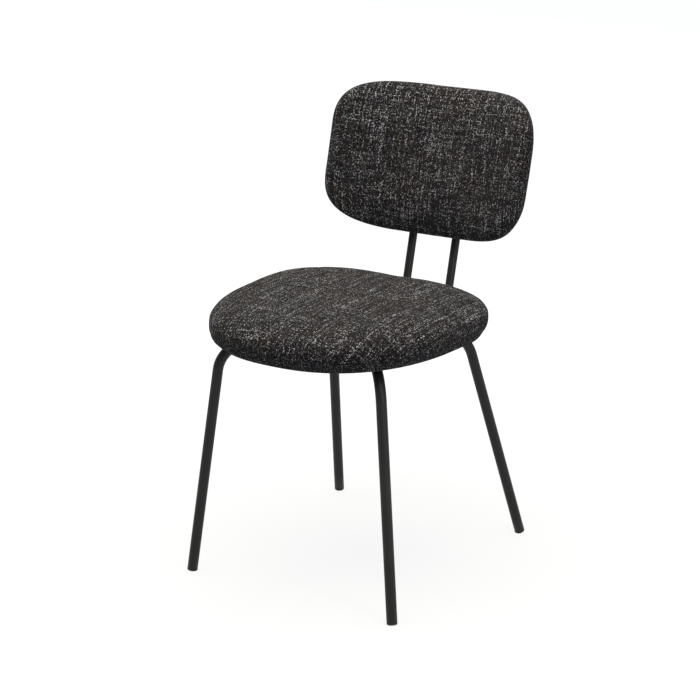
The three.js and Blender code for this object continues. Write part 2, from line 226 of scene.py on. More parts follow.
def tweedLook(wire):
    cloth = wire.node("ShaderNodeUVMap", {"uv_map": "weave"})
    stray = wire.grain(cloth, 70.0, 2.0, output=1)
    shifted = wire.node("ShaderNodeVectorMath", {"operation": "MULTIPLY_ADD"}, {
        0: stray, 1: (tweed["wander"] * 2,) * 3, 2: cloth})
    u, v, _ = shifted.split()
    across = u / tweed["pitch"]
    along = v / tweed["pitch"]
    warpTone, warpBow = yarnTone(wire, across, v, tweed["warpFleck"], 11.0)
    weftTone, weftBow = yarnTone(wire, along, u, tweed["weftFleck"], 57.0)
    over = (across.floor() + along.floor()) % 2
    under = 1 - over
    fuzz = wire.grain(cloth, 2600.0, 2.0)
    clump = wire.grain(cloth, 1 / tweed["clump"], 1.0)
    tone = (warpTone + tweed["warpLift"]) * over + (weftTone - tweed["warpLift"]) * under
    tone = tone + (clump - 0.5) * tweed["clumpShare"]
    # height is the yarns' relief; it feeds the bump and also the painted shade in the gaps below
    height = warpBow * (0.5 + 0.5 * weftBow) * over + weftBow * (0.5 + 0.5 * warpBow) * under
    base = tone.ramp([(0.22, tweed["dark"]), (0.40, tweed["charcoal"]), (0.53, tweed["grey"]),
                      (0.66, tweed["silver"]), (0.85, tweed["pale"])])
    plain = 1 - tone.above(0.66, 0.2)
    hue = wire.join(across.floor(), (v / tweed["dye"]).floor(), 3.0).chance()
    cast = wire.grain(cloth, 13.0, 2.0)
    base = ((hue + cast).above(1.22, 0.2) * plain * 0.5).blend(base, (*tweed["brown"], 1))
    base = ((hue + cast).above(0.76, -0.2) * plain * 0.5).blend(base, (*tweed["violet"], 1))
    # painted shade: the colour is pulled towards the dark yarn colour in the gaps between the yarns, where
    # the relief is low
    base = ((1 - height) * 0.62).blend(base, (*tweed["dark"], 1))
    relief = (height + fuzz * 0.45).bump(tweed["height"], 0.8)
    return {"Base Color": base, "Roughness": 0.84 + fuzz * 0.16, "Normal": relief}


# powder coat: satin black with a fine orange peel and a little wear where it is handled

powderCoat = {
    "colour": (0.0112, 0.0125, 0.0108),
    "worn": (0.020, 0.0215, 0.0190),
    "peel": 620.0,
    "rough": 0.40,
}


def powderLook(wire):
    place = objectPlace(wire)
    peel = wire.grain(place, powderCoat["peel"], 2.0)
    cloud = wire.grain(place, 38.0, 3.0)
    rub = wire.grain(place, 9.0, 4.0, 0.6).above(0.60, 0.18)
    colour = (rub * 0.5).blend((*powderCoat["colour"], 1), (*powderCoat["worn"], 1))
    rough = powderCoat["rough"] + cloud * 0.10 - rub * 0.06 + peel * 0.05
    return {"Base Color": colour, "Roughness": rough, "Normal": peel.bump(0.00012, 0.35)}


# moulded plastic of the glides, scuffed by the floor
glidePlastic = {"colour": (0.010, 0.010, 0.011), "scuffed": (0.05, 0.05, 0.048), "scuff": 260.0}


def glideLook(wire):
    place = objectPlace(wire)
    grain = wire.grain(place, 1500.0, 3.0)
    scuff = wire.grain(place, glidePlastic["scuff"], 4.0, 0.7).above(0.60, 0.10)
    colour = (scuff * 0.6).blend((*glidePlastic["colour"], 1), (*glidePlastic["scuffed"], 1))
    return {"Base Color": colour, "Roughness": 0.5 + scuff * 0.25, "Normal": grain.bump(0.00006, 0.5)}


# zinc plate of the bolts, tee nuts and staples
zincPlate = {"blue": (0.42, 0.43, 0.45), "yellow": (0.66, 0.65, 0.60), "spangle": 900.0}


def zincLook(wire):
    place = objectPlace(wire)
    spangle = wire.node("ShaderNodeTexVoronoi", None, {"Vector": place, "Scale": zincPlate["spangle"]})
    tint = wire.grain(place, 300.0, 2.0)
    colour = tint.ramp([(0.3, zincPlate["blue"]), (0.7, zincPlate["yellow"])])
    return {"Base Color": colour, "Roughness": 0.28 + spangle * 0.2, "Normal": tint.bump(0.00005, 0.5)}


# birch plywood: veneer grain along X, and plies through Z
plywood = {
    "ply": 0.0015,
    "autumn": (0.36, 0.23, 0.12),
    "spring": (0.56, 0.39, 0.22),
    "sap": (0.62, 0.46, 0.29),
    "crossPly": (0.30, 0.18, 0.09),
}


def plywoodLook(wire):
    x, y, z = objectPlace(wire).split()
    figure = wire.grain(wire.join(x * 3, y * 60, z * 60), 1.0, 5.0, 0.6)
    plies = (z / plywood["ply"]).floor() % 2
    face = figure.ramp([(0.3, plywood["autumn"]), (0.6, plywood["spring"]), (0.8, plywood["sap"])])
    colour = (plies * 0.35).blend(face, (*plywood["crossPly"], 1))
    return {"Base Color": colour, "Roughness": 0.62 + figure * 0.2, "Normal": figure.bump(0.0002, 0.4)}


# open-celled foam, yellowed in clouds
foam = {"yellowed": (0.62, 0.53, 0.33), "fresh": (0.75, 0.68, 0.48), "cells": 900.0}


def foamLook(wire):
    place = objectPlace(wire)
    cells = wire.node("ShaderNodeTexVoronoi", None, {"Vector": place, "Scale": foam["cells"]})
    tint = wire.grain(place, 14.0, 3.0)
    colour = tint.ramp([(0.3, foam["yellowed"]), (0.7, foam["fresh"])])
    return {"Base Color": colour, "Roughness": 0.85 + cells * 0.1, "Normal": cells.bump(0.0004, 0.7)}


# spun-bonded sheet: pressed dots on a felt of fine fibres
spunBond = {"dotPitch": 0.0016, "dark": (0.006, 0.006, 0.0065), "fibre": (0.026, 0.026, 0.027)}


def sheetLook(wire):
    place = objectPlace(wire)
    x, y, _ = place.split()
    felt = wire.grain(place, 1900.0, 4.0, 0.7)
    cellX = x / spunBond["dotPitch"] % 1 * 2 - 1
    cellY = y / spunBond["dotPitch"] % 1 * 2 - 1
    dot = 1 - (cellX * cellX + cellY * cellY).above(0.30, 0.2)
    colour = felt.ramp([(0.35, spunBond["dark"]), (0.7, spunBond["fibre"])])
    relief = (felt * 0.5 - dot * 0.7).bump(0.00022, 0.8)
    return {"Base Color": colour, "Roughness": 0.86 - dot * 0.18, "Normal": relief}


# twisted sewing thread
thread = {"twist": 0.0009, "dark": (0.008, 0.008, 0.009), "fluff": (0.03, 0.029, 0.031)}


def threadLook(wire):
    place = objectPlace(wire)
    x, y, z = place.split()
    twist = ((x + y + z) / thread["twist"] % 1 * 2 - 1).absolute()
    fluff = wire.grain(place, 1400.0, 3.0)
    colour = fluff.ramp([(0.3, thread["dark"]), (0.7, thread["fluff"])])
    return {"Base Color": colour, "Roughness": 0.8 + fluff * 0.1, "Normal": twist.bump(0.0002, 0.6)}


materials = {
    "tweed": makeMaterial("melangeTweed", {
        "Specular IOR Level": 0.08, "Sheen Weight": 0.03, "Sheen Roughness": 0.45,
        "Sheen Tint": (0.80, 0.77, 0.74, 1)}, tweedLook),
    "steel": makeMaterial("blackPowderCoat", {"Specular IOR Level": 0.24}, powderLook),
    "glide": makeMaterial("mouldedGlide", {"Specular IOR Level": 0.4}, glideLook),
    "zinc": makeMaterial("zincPlate", {"Metallic": 0.95}, zincLook),
    "plywood": makeMaterial("birchPlywood", {"Specular IOR Level": 0.3}, plywoodLook),
    "foam": makeMaterial("upholsteryFoam", {"Specular IOR Level": 0.2}, foamLook),
    "dust_cover": makeMaterial("spunBondSheet", {"Specular IOR Level": 0.25}, sheetLook),
    "thread": makeMaterial("seamThread", {"Specular IOR Level": 0.3, "Sheen Weight": 0.2}, threadLook),
}
print("materials made")

for part in frame["record"]["subparts"]:
    node = frame["nodes"][part["node"]]
    node.data.materials.clear()
    node.data.materials.append(materials[part["material_slot"]])


# sizes that the looks share with the frame, in metres, with Y measured from the hub

hubLow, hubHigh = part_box("frame_hub")
hubMiddle = (hubLow + hubHigh) / 2
tubing = {
    "legRadius": 0.009,
    "legHeight": 0.4087,           # axis of the level runs
    "frontFoot": (0.204, -0.218),
    "frontKnee": (0.1574, -0.1837),
    "frontBend": 0.050,
    "rearFoot": (0.196, 0.240),
    "rearKnee": (0.1378, 0.1245),
    "rearBend": 0.072,
    "postRadius": 0.0075,
    "postSpacing": 0.0884,
    "postLean": math.radians(14.8),
    "postKneeY": 0.2235,
    "postBend": 0.036,
    "wall": 0.0015,
    "cutEdge": 0.0004,             # softness of the cut ends
    "shownBore": 0.02,             # how far down its bore a tube is made
    "sides": 56,
    "bendSteps": 24,
}


def fromHub(x, y, z):
    return Vector((x, hubMiddle.y + y, z))


def meshPiece(name, points, faces, slot, look=None):
    # a smooth piece with the finish of this material slot, or with another look
    mesh = bpy.data.meshes.new(name)
    mesh.from_pydata([tuple(p) for p in points], [], faces)
    mesh.validate()
    mesh.shade_smooth()
    piece = bpy.data.objects.new(name, mesh)
    scene.collection.objects.link(piece)
    mesh.materials.append(materials[look or slot])
    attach(piece, "root")
    return piece


def sharpen(piece, angle):
    # edges steeper than this stay crisp
    piece.data.set_sharp_from_angle(angle=math.radians(angle))
    return piece


def squareTo(direction):
    # two unit vectors across this direction
    direction = direction.normalized()
    helper = Vector((0, 0, 1)) if abs(direction.z) < 0.9 else Vector((1, 0, 0))
    side = direction.cross(helper).normalized()
    return side, side.cross(direction).normalized()


def bentPath(start, knee, end, radius, steps):
    # stations (point, tangent) of two straight runs and the round bend between them
    inward = (knee - start).normalized()
    outward = (end - knee).normalized()
    turn = inward.angle(outward)
    bendStart = knee - inward * radius * math.tan(turn / 2)
    side = (outward - inward * math.cos(turn)).normalized()
    centre = bendStart + side * radius
    stations = [(start.lerp(bendStart, i / 12), inward) for i in range(12)]
    for i in range(steps + 1):
        angle = turn * i / steps
        point = centre - side * radius * math.cos(angle) + inward * radius * math.sin(angle)
        stations.append((point, inward * math.cos(angle) + side * math.sin(angle)))
    bendEnd = stations[-1][0]
    stations += [(bendEnd.lerp(end, i / 12), outward) for i in range(1, 13)]
    return stations


def tubeRings(stations, radius, normal, sides):
    points = []
    for point, tangent in stations:
        across = tangent.cross(normal).normalized()
        for i in range(sides):
            angle = 2 * math.pi * i / sides
            points.append(point + (across * math.cos(angle) + normal * math.sin(angle)) * radius)
    return points


def ringFaces(rings, sides, closed=False):
    faces = []
    for r in range(rings if closed else rings - 1):
        for i in range(sides):
            a, b = r * sides + i, r * sides + (i + 1) % sides
            c, d = ((r + 1) % rings) * sides + (i + 1) % sides, ((r + 1) % rings) * sides + i
            faces.append((a, b, c, d))
    return faces


def bentTube(name, stations, radius, replaced):
    # an open tube with a softened cut at both ends and a short way down its bore
    normal = stations[0][1].cross(stations[-1][1]).normalized()
    first, last = stations[0], stations[-1]
    soft = tubing["cutEdge"]
    inside = tubing["shownBore"]
    bore = radius - tubing["wall"]
    ends = [(inside, bore), (soft, bore), (0, bore + soft), (0, radius - soft), (soft, radius)]
    points = []
    for step, size in ends:
        points += tubeRings([(first[0] + first[1] * step, first[1])], size, normal, tubing["sides"])
    points += tubeRings(stations[1:-1], radius, normal, tubing["sides"])
    for step, size in ends[::-1]:
        points += tubeRings([(last[0] - last[1] * step, last[1])], size, normal, tubing["sides"])
    rings = len(points) // tubing["sides"]
    piece = meshPiece(name, points, ringFaces(rings, tubing["sides"]), "steel")
    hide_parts(replaced)
    return sharpen(piece, 50)


weld = {"hub": 0.0011, "post": 0.0009, "ripple": 0.16, "uneven": 0.12, "sides": 10}


def weldBead(name, path, radius):
    # a closed, rippled bead of weld along this ring of points
    points = []
    count = len(path)
    for i, point in enumerate(path):
        tangent = (path[(i + 1) % count] - path[i - 1]).normalized()
        side, up = squareTo(tangent)
        ripple = weld["ripple"] * math.sin(i * math.pi / 2)
        size = radius * (1 + ripple + weld["uneven"] * noise.noise(point * 400))
        for k in range(weld["sides"]):
            angle = 2 * math.pi * k / weld["sides"]
            points.append(point + (side * math.cos(angle) + up * math.sin(angle)) * size)
    return meshPiece(name, points, ringFaces(count, weld["sides"], True), "steel")


def turned(name, profile, base, direction, sides, slot, shape=None, lowest=None):
    # a turned piece; shape(ring, angle) scales the radius, and nothing goes below lowest
    side, other = squareTo(direction)
    points = []
    for ring, (radius, height) in enumerate(profile):
        for i in range(sides):
            angle = 2 * math.pi * i / sides
            size = radius * (shape(ring, angle) if shape else 1)
            point = base + direction * height + (side * math.cos(angle) + other * math.sin(angle)) * size
            if lowest is not None:
                point.z = max(point.z, lowest)
            points.append(point)
    faces = ringFaces(len(profile), sides)
    faces += [tuple(range(sides)), tuple(range(len(points) - sides, len(points)))[::-1]]
    return sharpen(meshPiece(name, points, faces, slot), 35)


# legs, with their glides and welds, and the hub that they meet at

glides = {"flange": 0.003, "edge": 0.0008, "stem": 0.006, "sink": 0.0008, "groove": 0.0003, "sides": 72}
hub = {"edge": 0.0010, "bore": 0.0055, "boreEdge": 0.0006, "boreDepth": 0.004, "sides": 96,
       "reach": 0.021}  # where the leg tubes end, from its axis

hubRadius = (hubHigh.x - hubLow.x) / 2
hubHeight = hubHigh.z - hubLow.z
radius = tubing["legRadius"]
legs = {}
for row in ("front", "rear"):
    for hand, sign in (("left", -1), ("right", 1)):
        foot, knee = tubing[row + "Foot"], tubing[row + "Knee"]
        footPoint = fromHub(sign * foot[0], foot[1], 0)
        kneePoint = fromHub(sign * knee[0], knee[1], tubing["legHeight"])
        hubPoint = fromHub(0, 0, tubing["legHeight"])
        rise = (kneePoint - footPoint).normalized()
        run = (hubPoint - kneePoint).normalized()
        tilt = rise.angle(Vector((0, 0, 1)))
        lift = (radius * math.sin(tilt) - glides["sink"]) / math.cos(tilt)
        disc = footPoint + rise * lift
        stations = bentPath(disc + rise * (glides["flange"] + glides["groove"]), kneePoint,
                            hubPoint - run * hub["reach"], tubing[row + "Bend"], tubing["bendSteps"])
        bentTube(f"{row}_{hand}_legTube", stations, radius, f"{row}_{hand}_leg")
        rim = radius - glides["edge"]
        profile = [(rim * k / 8, 0) for k in range(1, 9)]
        stem = radius - tubing["wall"] - glides["groove"]
        profile += [(radius - glides["edge"] * 0.3, glides["edge"] * 0.3), (radius, glides["edge"]),
                    (radius, glides["flange"] - glides["groove"]),
                    (radius - glides["groove"], glides["flange"]),
                    (stem, glides["flange"]), (stem, glides["flange"] + glides["stem"])]
        glide = turned(f"{row}_{hand}_plugGlide", profile, disc, rise, glides["sides"], "glide", lowest=0.0)
        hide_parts(f"{row}_{hand}_glide")
        side, up = squareTo(run)
        saddle = []
        for i in range(96):
            angle = 2 * math.pi * i / 96
            offset = radius * 1.05 * math.sin(angle)
            reach = math.sqrt(hubRadius ** 2 - offset ** 2) + 0.0004
            saddle.append(hubPoint - run * reach + side * offset + up * radius * 1.05 * math.cos(angle))
        for point in saddle:
            point.z = min(point.z, tubing["legHeight"] + radius - 0.0008)
        weldBead(f"{row}_{hand}_hubWeld", saddle, weld["hub"])
        legs[f"{row}_{hand}"] = run
hubProfile = [(hub["bore"], hub["boreDepth"]), (hub["bore"], hub["boreEdge"]),
              (hub["bore"] + hub["boreEdge"], 0), (hubRadius - hub["edge"], 0),
              (hubRadius - hub["edge"] * 0.3, hub["edge"] * 0.3), (hubRadius, hub["edge"]),
              (hubRadius, hubHeight - hub["edge"]), (hubRadius - hub["edge"], hubHeight)]
hubBoss = turned("hubBoss", hubProfile, Vector((0, hubMiddle.y, hubLow.z)), Vector((0, 0, 1)),
                 hub["sides"], "steel")
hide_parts("frame_hub")
print("legs, glides and hub made")


# back posts; each level run is welded to the rear leg beside it

for hand, sign in (("left", -1), ("right", 1)):
    x = sign * tubing["postSpacing"] / 2
    height = tubing["legHeight"] + tubing["legRadius"] - tubing["postRadius"]
    slope = tubing["rearKnee"][1] / tubing["rearKnee"][0]
    start = fromHub(x, slope * abs(x) + 0.002, height)
    knee = fromHub(x, tubing["postKneeY"], height)
    rise = Vector((0, math.sin(tubing["postLean"]), math.cos(tubing["postLean"])))
    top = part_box(f"{hand}_back_post")[1].z - tubing["postRadius"] * math.sin(tubing["postLean"])
    end = knee + rise * ((top - height) / rise.z)
    bentTube(f"{hand}_postTube", bentPath(start, knee, end, tubing["postBend"], tubing["bendSteps"]),
             tubing["postRadius"], f"{hand}_back_post")
    # bead where the round of the post meets the round of the leg
    run = legs[f"rear_{hand}"]
    across = Vector((-run.y, run.x, 0)).normalized()
    if across.y < 0:
        across = -across
    seam = []
    for i in range(80):
        angle = 2 * math.pi * i / 80
        px = x + tubing["postRadius"] * 1.04 * math.cos(angle)
        pz = height + tubing["postRadius"] * 1.04 * math.sin(angle)
        drop = min(0.0089, abs(pz - tubing["legHeight"]))
        out = math.sqrt(max(tubing["legRadius"] ** 2 - drop ** 2, 0)) / across.y
        py = hubMiddle.y + slope * abs(px) + out + 0.0003
        seam.append(Vector((px, py, min(pz, tubing["legHeight"] + tubing["legRadius"] - 0.0006))))
    weldBead(f"{hand}_postWeld", seam, weld["post"])
print("posts made")


# bolts under the seat: button heads with a hexagon socket

button = {"head": 0.006, "height": 0.0032, "socket": 0.0021, "depth": 0.0019, "sides": 60}


def hexagon(ring, angle):
    if ring > 1:
        return 1
    return math.cos(math.pi / 6) / math.cos(angle % (math.pi / 3) - math.pi / 6)


for name in ("front_left", "front_right", "rear_left", "rear_right", "left_post", "right_post"):
    low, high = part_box(f"{name}_bolt")
    head, tall = button["head"], button["height"]
    base = Vector(((low.x + high.x) / 2, (low.y + high.y) / 2, low.z))
    socket = button["socket"]
    profile = [(socket, button["depth"]), (socket, 0.0002), (socket * 1.25, 0)]
    for k in range(9):
        swing = math.pi / 2 * k / 8
        profile.append((head * (0.45 + 0.55 * math.sin(swing)), tall * 0.85 * (1 - math.cos(swing))))
    profile += [(head, tall), (0.0045, tall)]
    bolt = turned(f"{name}_buttonBolt", profile, base, Vector((0, 0, 1)), button["sides"], "zinc", hexagon)
    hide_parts(f"{name}_bolt")
print("bolts made")


# cushion cloth: a square grid wrapped over the top, down the sides and under, as rings

def ringMesh(half, tall):
    # the turn angle and ring number of each point, for `tall` rings from the middle of the top to the
    # middle of the underside; the first and last `half` rings make square grids
    index, keys = {}, []

    def vertex(layer, i, j):
        key = (layer, i, j)
        if key not in index:
            index[key] = len(keys)
            keys.append(key)
        return index[key]

    def layerOf(i, j, bottom):
        ring = max(abs(i), abs(j))
        return tall - 1 - ring if bottom else ring

    faces = []
    for bottom in (False, True):
        for i in range(-half, half):
            for j in range(-half, half):
                corners = [(i, j), (i + 1, j), (i + 1, j + 1), (i, j + 1)]
                face = [vertex(layerOf(a, b, bottom), a, b) for a, b in corners]
                faces.append(face[::-1] if bottom else face)
    rim = [(k, -half) for k in range(-half, half)] + [(half, k) for k in range(-half, half)]
    rim += [(-k, half) for k in range(-half, half)] + [(-half, -k) for k in range(-half, half)]
    for layer in range(half, tall - 1 - half):
        for a in range(len(rim)):
            b = (a + 1) % len(rim)
            low = [vertex(layer + 1, *rim[a]), vertex(layer + 1, *rim[b])]
            faces.append([*low, vertex(layer, *rim[b]), vertex(layer, *rim[a])])
    turns = np.array([math.atan2(j, i) for _, i, j in keys])
    layers = np.array([layer for layer, _, _ in keys])
    return turns, layers, faces


def superRadius(angle, power):
    return (np.abs(np.cos(angle)) ** power + np.abs(np.sin(angle)) ** power) ** (-1 / power)


def profileTable(top, under, count=200):
    # (ratio, level) down the outside from the middle of the top to where the underside starts;
    # top and under are (depth, power, ratio where it ends)
    rows = []
    for sign, (depth, power, inner) in ((1, top), (-1, under)):
        angle = np.linspace(math.pi / 2, 0, count) if sign > 0 else np.linspace(0, math.pi / 2, count)[1:]
        size = superRadius(angle, power)
        ratio = inner + (1 - inner) * np.cos(angle) * size
        rows.append(np.stack([ratio, sign * depth * np.sin(angle) * size], 1))
    return np.concatenate(rows)


def spaced(table, width, counts):
    # stations along the table, each stretch (until this share of its length, rings) evenly spaced
    step = np.hypot(np.diff(table[:, 0]) * width, np.diff(table[:, 1]))
    length = np.concatenate([[0], np.cumsum(step)])
    length /= length[-1]
    places, last = [0.0], 0.0
    for until, rings in counts:
        places += list(np.linspace(last, until, rings + 1)[1:])
        last = until
    return np.stack([np.interp(places, length, table[:, k]) for k in (0, 1)], 1)


def settle(piece, rest, pinned, cloth):
    # a short cloth run under pressure; each point moves at most `reach` from where it was
    group = piece.vertex_groups.new(name="held")
    for index, weight in enumerate(pinned):
        if weight > 0:
            group.add([index], float(weight), "REPLACE")
    modifier = piece.modifiers.new("settle", "CLOTH")
    settings = modifier.settings
    settings.quality = 6
    settings.mass = 0.35
    settings.tension_stiffness = settings.compression_stiffness = 18
    settings.shear_stiffness = 8
    settings.bending_stiffness = cloth["bending"]
    settings.use_pressure = True
    settings.uniform_pressure_force = cloth["pressure"]
    settings.shrink_min = cloth["shrink"]
    settings.effector_weights.gravity = 0
    settings.vertex_group_mass = "held"
    modifier.point_cache.frame_start = 1
    modifier.point_cache.frame_end = cloth["frames"]
    for number in range(1, cloth["frames"] + 1):
        scene.frame_set(number)
    solved = piece.evaluated_get(bpy.context.evaluated_depsgraph_get())
    moved = np.zeros(len(rest) * 3, np.float32)
    solved.data.vertices.foreach_get("co", moved)
    scene.frame_set(1)
    piece.modifiers.remove(modifier)
    offset = moved.reshape(-1, 3) - rest
    length = np.linalg.norm(offset, axis=1, keepdims=True)
    print(piece.name, "cloth moved", round(float(length.mean()) * 1000, 2), "mm, most",
          round(float(length.max()) * 1000, 2))
    return rest + offset * np.minimum(1, cloth["reach"] / np.maximum(length, 1e-9))


def setPoints(piece, points):
    piece.data.vertices.foreach_set("co", np.asarray(points, np.float32).ravel())
    piece.data.update()


def weaveMap(piece, flat, panel=None, panelFlat=None):
    # the cloth's own flat place, in metres, of each corner of each face; a face wholly inside the
    # panel is a piece of cloth of its own
    layer = piece.data.uv_layers.new(name="weave")
    corners = np.zeros(len(piece.data.loops), np.int32)
    piece.data.loops.foreach_get("vertex_index", corners)
    places = flat[corners]
    if panel is not None:
        inside = panel[corners].reshape(-1, 4).all(1).repeat(4)
        places = np.where(inside[:, None], panelFlat[corners], places)
    layer.data.foreach_set("uv", places.astype(np.float32).ravel())


def wrapped(turns, layers, stations, outline, centre, powers):
    # flat cloth coordinates: the plan place, pushed out along the outline's normal by the length of
    # cloth that the edge takes up
    rims = np.array([outline(turn, 1.0) for turn in turns]) - centre
    radius = np.linalg.norm(rims, axis=1)
    ratios, levels = stations[:, 0], stations[:, 1]
    step = np.hypot(radius[:, None] * np.diff(ratios)[None, :], np.diff(levels)[None, :])
    length = np.concatenate([np.zeros((len(radius), 1)), np.cumsum(step, 1)], 1)
    arc = length[np.arange(len(turns)), layers]
    plan = rims * ratios[layers][:, None]
    spare = arc - np.linalg.norm(plan, axis=1)
    power = np.where(np.sin(turns) > 0, powers[1], powers[0])[:, None]
    widest = np.abs(rims).max(0)
    normal = np.sign(rims) * np.abs(rims / widest) ** (power - 1) / widest
    normal /= np.linalg.norm(normal, axis=1, keepdims=True) + 1e-12
    return plan + normal * spare[:, None]


def unevenness(points, size, amount, seed):
    # slow hand-made unevenness of a padded surface
    shift = Vector((seed, seed * 0.7, seed * 1.3))
    return np.array([noise.noise(Vector(p) / size + shift) * amount for p in points])[:, None]


def surfaceNormals(piece):
    normals = np.zeros(len(piece.data.vertices) * 3, np.float32)
    piece.data.vertices.foreach_get("normal", normals)
    return normals.reshape(-1, 3)


def smoothFinish(piece, levels=2):
    modifier = piece.modifiers.new("round", "SUBSURF")
    modifier.levels = levels
    modifier.render_levels = levels
    return piece


# seat cushion: cloth over foam, pulled down and turned under the edge of the board

seat = {
    "halfWide": 0.2228,
    "frontReach": 0.2532,
    "backReach": 0.1875,
    "taper": 0.07,
    "powers": (2.4, 2.7),         # front half and back half of the outline
    "top": (3.4, 1.9, 0.88),      # powers over and under the widest level, and where the underside starts
    "waist": 0.028,               # widest level, above the underside
    "half": 28,
    "hem": 0.765,
    "crown": 0.0006,
    "gather": 0.0009,             # depth of the gathers under the corners
    "cloth": {"pressure": 4.0, "shrink": 0.0, "bending": 0.6, "frames": 16, "reach": 0.0020},
}

seatLow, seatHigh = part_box("seat_cover")
seatCentre = Vector((0, seatLow.y + seat["frontReach"], seatLow.z + seat["waist"]))


def seatOutline(turn, ratio):
    power = seat["powers"][1 if math.sin(turn) > 0 else 0]
    size = float(superRadius(turn, power)) * ratio
    across, along = math.cos(turn) * size, math.sin(turn) * size
    reach = seat["backReach"] if along > 0 else seat["frontReach"]
    return (seat["halfWide"] * across * (1 + seat["taper"] * along), seatCentre.y + reach * along)


topPower, underPower, underRatio = seat["top"]
under = seatCentre.z - seatLow.z
seatTable = profileTable((seatHigh.z - seatCentre.z, topPower, 0), (under, underPower, underRatio))
outer = spaced(seatTable, seat["halfWide"], [(0.80, 26), (1.0, 14)])
hem = seat["hem"]
turnIn = [(0.865, 0), (0.845, 0), (0.825, 0), (0.805, 0), (0.79, 0.0001), (0.778, 0.0002),
          (0.771, 0.0005), (hem, 0.0012), (hem + 0.002, 0.0019), (hem + 0.002, 0.0030)]
turnIn = [(ratio, -under + rise) for ratio, rise in turnIn]
rest = 2 * seat["half"] + 1 + 12 - len(outer) - len(turnIn)
inner = [(hem * (1 - (k + 1) / rest), -under + 0.0032) for k in range(rest)]
seatStations = np.array([*map(tuple, outer), *turnIn, *inner])
turns, layers, faces = ringMesh(seat["half"], len(seatStations))
ratios, levels = seatStations[layers, 0], seatStations[layers, 1]
plan = np.array([seatOutline(turn, ratio) for turn, ratio in zip(turns, ratios)])
points = np.concatenate([plan, (seatCentre.z + levels)[:, None]], 1)

seatCushion = meshPiece("seatCushion", points, faces, "tweed")
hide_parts("seat_cover", "seat_foam")
firstUnder = len(outer) - 3
pinned = np.clip((layers - firstUnder + 4) / 4, 0, 1)
points = settle(seatCushion, points, pinned, seat["cloth"])
setPoints(seatCushion, points)
normals = surfaceNormals(seatCushion)
free = (1 - pinned)[:, None]
points = points + normals * free * (unevenness(points, 0.11, seat["crown"] * 1.6, 3.0)
                                    + unevenness(points, 0.035, seat["crown"] * 0.7, 9.0))
# gathers where the cloth turns under the corners
corner = np.abs(np.sin(2 * turns)) ** 3
gather = np.maximum(np.sin(turns * 92 + np.sin(turns * 17)), -0.2) + 0.2
underside = ((ratios < 0.90) & (ratios > 0.772) & (layers > firstUnder)).astype(float)
points[:, 2] += underside * corner * gather * seat["gather"]
points[:, 2] = np.maximum(points[:, 2], seatLow.z)
setPoints(seatCushion, points)
weaveMap(seatCushion, wrapped(turns, layers, seatStations, seatOutline,
                              np.array([0.0, seatCentre.y]), seat["powers"]))
smoothFinish(seatCushion)
print("seat cushion made")


# dust cover: a sheet stapled under the board, inside the turned-in edge of the cloth

dustCover = {
    "ratio": 0.757,
    "thick": 0.0004,
    "sag": 0.0004,
    "rings": 22,
    "sides": 160,
    "stapleRatio": 0.738,
    "stapleEvery": 0.030,
    "stapleHalf": 0.005,
    "stapleLeg": 0.0009,
    "stapleWire": 0.00035,
}

coverLow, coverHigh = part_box("seat_dust_cover")
sides = dustCover["sides"]
points = [(0.0, seatCentre.y, coverHigh.z - 0.0002)]
for ring in range(1, dustCover["rings"] + 1):
    for i in range(sides):
        x, y = seatOutline(2 * math.pi * i / sides, dustCover["ratio"] * ring / dustCover["rings"])
        wave = noise.noise(Vector((x, y, 0)) * 22) * 0.5 + noise.noise(Vector((x, y, 4)) * 60) * 0.25
        fade = min(1.0, (dustCover["rings"] - ring) / 4)
        points.append((x, y, coverHigh.z - 0.0002 - dustCover["sag"] * fade * max(0, 0.5 + wave)))
faces = [(0, 1 + (i + 1) % sides, 1 + i) for i in range(sides)]
for ring in range(dustCover["rings"] - 1):
    for i in range(sides):
        a, b = 1 + ring * sides + i, 1 + ring * sides + (i + 1) % sides
        faces.append((a, b, b + sides, a + sides))
underSheet = meshPiece("dustCoverSheet", points, faces, "dust_cover")
edge = [points[1 + (dustCover["rings"] - 1) * sides + i] for i in range(sides)]
sheetArea = abs(sum(p[0] * q[1] - q[0] * p[1] for p, q in zip(edge, edge[1:] + edge[:1]))) / 2
sheetWide = max(p[0] for p in edge) - min(p[0] for p in edge)
sheetLong = max(p[1] for p in edge) - min(p[1] for p in edge)
thicken = underSheet.modifiers.new("thickness", "SOLIDIFY")
thicken.thickness = dustCover["thick"]
thicken.offset = -1
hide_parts("seat_dust_cover")


def roundWire(name, runs, radius, slot, sides=8, look=None):
    # short rods that follow these runs of points, all in one piece
    points, faces = [], []
    for run in runs:
        first = len(points)
        for i, point in enumerate(run):
            tangent = (run[min(i + 1, len(run) - 1)] - run[max(i - 1, 0)]).normalized()
            side, up = squareTo(tangent)
            size = radius * (0.55 if i in (0, len(run) - 1) else 1)
            for k in range(sides):
                angle = 2 * math.pi * k / sides
                points.append(point + (side * math.cos(angle) + up * math.sin(angle)) * size)
        faces += [tuple(first + v for v in face) for face in ringFaces(len(run), sides)]
        faces += [tuple(first + k for k in range(sides))[::-1],
                  tuple(first + (len(run) - 1) * sides + k for k in range(sides))]
    return meshPiece(name, points, faces, slot, look=look)


staples, walked, goal = [], 0.0, 0.0
ring = [Vector((*seatOutline(2 * math.pi * i / 720, dustCover["stapleRatio"]), 0)) for i in range(721)]
for a, b in zip(ring, ring[1:]):
    walked += (b - a).length
    if walked >= goal:
        goal += dustCover["stapleEvery"]
        along = (b - a).normalized()
        middle = a.copy()
        middle.z = coverLow.z + 0.00005
        lift = Vector((0, 0, dustCover["stapleLeg"]))
        reach = along * dustCover["stapleHalf"]
        staples.append([middle - reach + lift, middle - reach, middle - reach * 0.9, middle,
                        middle + reach * 0.9, middle + reach, middle + reach + lift])
stapleRow = roundWire("dustCoverStaples", staples, dustCover["stapleWire"], "zinc")
print("dust cover made", len(staples), "staples")


